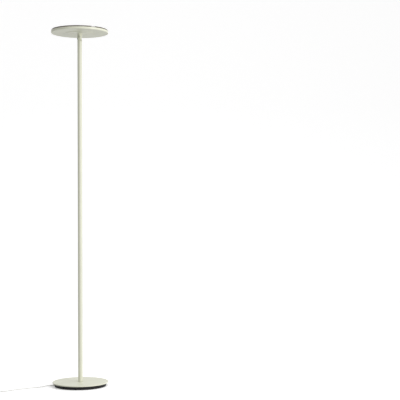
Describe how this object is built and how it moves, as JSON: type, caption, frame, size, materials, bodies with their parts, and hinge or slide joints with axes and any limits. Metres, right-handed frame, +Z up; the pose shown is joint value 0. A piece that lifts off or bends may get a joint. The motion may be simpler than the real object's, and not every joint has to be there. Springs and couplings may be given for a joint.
{
  "type": "torchiere floor lamp",
  "caption": "Standing uplighter: flat disc head on a tilting knuckle, slim straight pole, flat disc base, mains lead with foot switch.",
  "frame": {"origin": "on the floor under the base, on the pole's axis", "axes": "+Z up along the pole; the lead leaves the base towards -X; the head tilts about X"},
  "size_m": [0.7572, 0.295, 1.755],
  "materials": {
    "cream_paint": "satin powder coat",
    "black_plastic": "moulded, fine grain",
    "foot_rubber": "matt",
    "cast_iron": "as cast",
    "zinc_steel": "zinc plated",
    "fibre": "pressed fibre",
    "aluminium": "satin",
    "smoked_glass": "polished edge",
    "silicone": "matt",
    "white_board": "solder mask",
    "led_chip": "phosphor",
    "reflector_white": "matt",
    "circuit_board": "solder mask",
    "clear_pvc": "translucent",
    "white_plastic": "moulded",
    "nickel_pin": "nickel plated",
    "cord_tie_slot": "moulded"
  },
  "bodies": {
    "stand": {"base_cover": "cream_paint", "base_weight": "cast_iron", "base_tray": "black_plastic", "tray_screws": "zinc_steel", "rubber_feet": "foot_rubber", "strain_relief": "clear_pvc", "mains_lead_inner": "clear_pvc", "driver_case": "white_plastic", "driver_plate": "white_plastic", "driver_board": "circuit_board", "base_stud": "zinc_steel", "base_nut": "zinc_steel", "base_lock_washer": "zinc_steel", "base_washer": "zinc_steel", "pole_foot": "zinc_steel", "pole_section_1": "cream_paint", "pole_section_2": "cream_paint", "pole_section_3": "cream_paint", "pole_coupling_1": "zinc_steel", "pole_coupling_2": "zinc_steel", "pole_lead": "clear_pvc", "knuckle_lower": "cream_paint", "friction_washer": "fibre", "mains_cord": "clear_pvc", "switch_base": "white_plastic", "switch_cover": "white_plastic", "switch_contacts": "black_plastic", "button_spring": "zinc_steel", "switch_screws": "zinc_steel", "mains_cord_tail": "clear_pvc", "mains_cord_coil": "clear_pvc", "cord_tie": "cord_tie_slot", "mains_cord_end": "clear_pvc", "plug_body": "white_plastic", "plug_pins": "nickel_pin"},
    "head": {"knuckle_upper": "cream_paint", "pivot_screw": "zinc_steel", "spring_washer": "zinc_steel", "pivot_nut": "zinc_steel", "pivot_cap": "cream_paint", "head_plate": "cream_paint", "plate_screws": "zinc_steel", "neck_screws": "zinc_steel", "head_shell": "cream_paint", "glass_seat": "aluminium", "bond_ring": "silicone", "glass_disc": "smoked_glass", "led_board": "white_board", "leds": "led_chip", "reflector_sheet": "reflector_white", "led_connector": "white_plastic", "head_lead": "clear_pvc"},
    "button": {"switch_button": "white_plastic"}
  },
  "joints": [
    {"name": "head_tilt", "type": "hinge", "parent": "stand", "child": "head", "pos_m": [0, 0, 1.713], "axis": [1, 0, 0], "range_deg": [-90, 90]},
    {"name": "button_press", "type": "slide", "parent": "stand", "child": "button", "axis": [0, 0, -1], "range_m": [0, 0.003], "stiffness_N_per_m": 400, "springref_m": -0.003, "deforming": ["button_spring"]}
  ]
}
